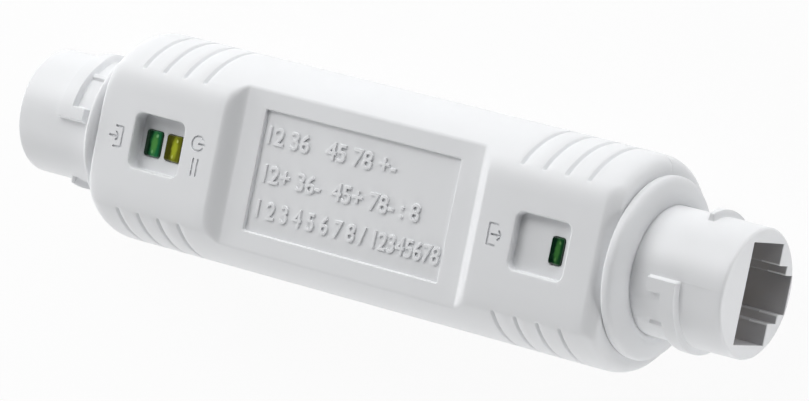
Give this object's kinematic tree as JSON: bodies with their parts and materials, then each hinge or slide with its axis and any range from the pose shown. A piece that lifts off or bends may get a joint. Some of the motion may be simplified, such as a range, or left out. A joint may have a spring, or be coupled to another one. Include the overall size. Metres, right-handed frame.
{
  "type": "power over Ethernet injector",
  "caption": "Round white inline power-over-Ethernet unit with an RJ45 bayonet socket at each end, a recessed label panel and lamp windows.",
  "frame": {"origin": "middle of the unit's length and width, on the plane of the back pads it lies on", "axes": "+X along the case towards the output socket, +Z out of the label side, +Y across the case"},
  "size_m": [0.1036, 0.026, 0.0221],
  "materials": {
    "case_plastic": "matte",
    "socket_plastic": "matte",
    "ring_silicone": "satin",
    "gasket_rubber": "matte",
    "screw_steel": "satin",
    "jack_plastic": "matte",
    "contact_gold": "polished",
    "board": "gloss",
    "chip_black": "matte",
    "crystal_can": "satin",
    "ferrite": "matte",
    "can_aluminium": "satin",
    "resistor_black": "matte",
    "ceramic": "matte",
    "lead_tin": "satin",
    "lamp_green": "gloss",
    "lamp_yellow": "gloss",
    "holder_black": "matte"
  },
  "bodies": {
    "case": {"front_shell": "case_plastic", "back_shell": "case_plastic", "in_socket": "socket_plastic", "out_socket": "socket_plastic", "in_seal_ring": "ring_silicone", "out_seal_ring": "ring_silicone", "seam_gasket": "gasket_rubber", "in_neck_seal": "gasket_rubber", "out_neck_seal": "gasket_rubber", "case_screws": "screw_steel", "in_jack_core": "jack_plastic", "out_jack_core": "jack_plastic", "in_contact_tails": "contact_gold", "out_contact_tails": "contact_gold", "main_board": "board", "in_transformer": "chip_black", "out_transformer": "chip_black", "switch_chip": "chip_black", "power_chip": "chip_black", "in_bridge": "chip_black", "out_bridge": "chip_black", "crystal": "crystal_can", "power_inductor": "ferrite", "input_capacitor": "can_aluminium", "output_capacitor": "can_aluminium", "chip_resistors": "resistor_black", "chip_capacitors": "ceramic", "component_leads": "lead_tin", "lamp_leads": "lead_tin", "in_link_lamp": "lamp_green", "out_link_lamp": "lamp_green", "in_power_lamp": "lamp_yellow", "in_lamp_holder": "holder_black", "out_lamp_holder": "holder_black"},
    "in_springs": {"in_contacts": "contact_gold"},
    "out_springs": {"out_contacts": "contact_gold"}
  },
  "joints": [
    {"name": "in_contact_flex", "type": "hinge", "parent": "case", "child": "in_springs", "pos_m": [-0.04865, 0, 0.01444], "axis": [0, -1, 0], "range_deg": [0, 10], "stiffness_Nm_per_rad": 0.02},
    {"name": "out_contact_flex", "type": "hinge", "parent": "case", "child": "out_springs", "pos_m": [0.04865, 0, 0.01444], "axis": [0, 1, 0], "range_deg": [0, 10], "stiffness_Nm_per_rad": 0.02}
  ]
}
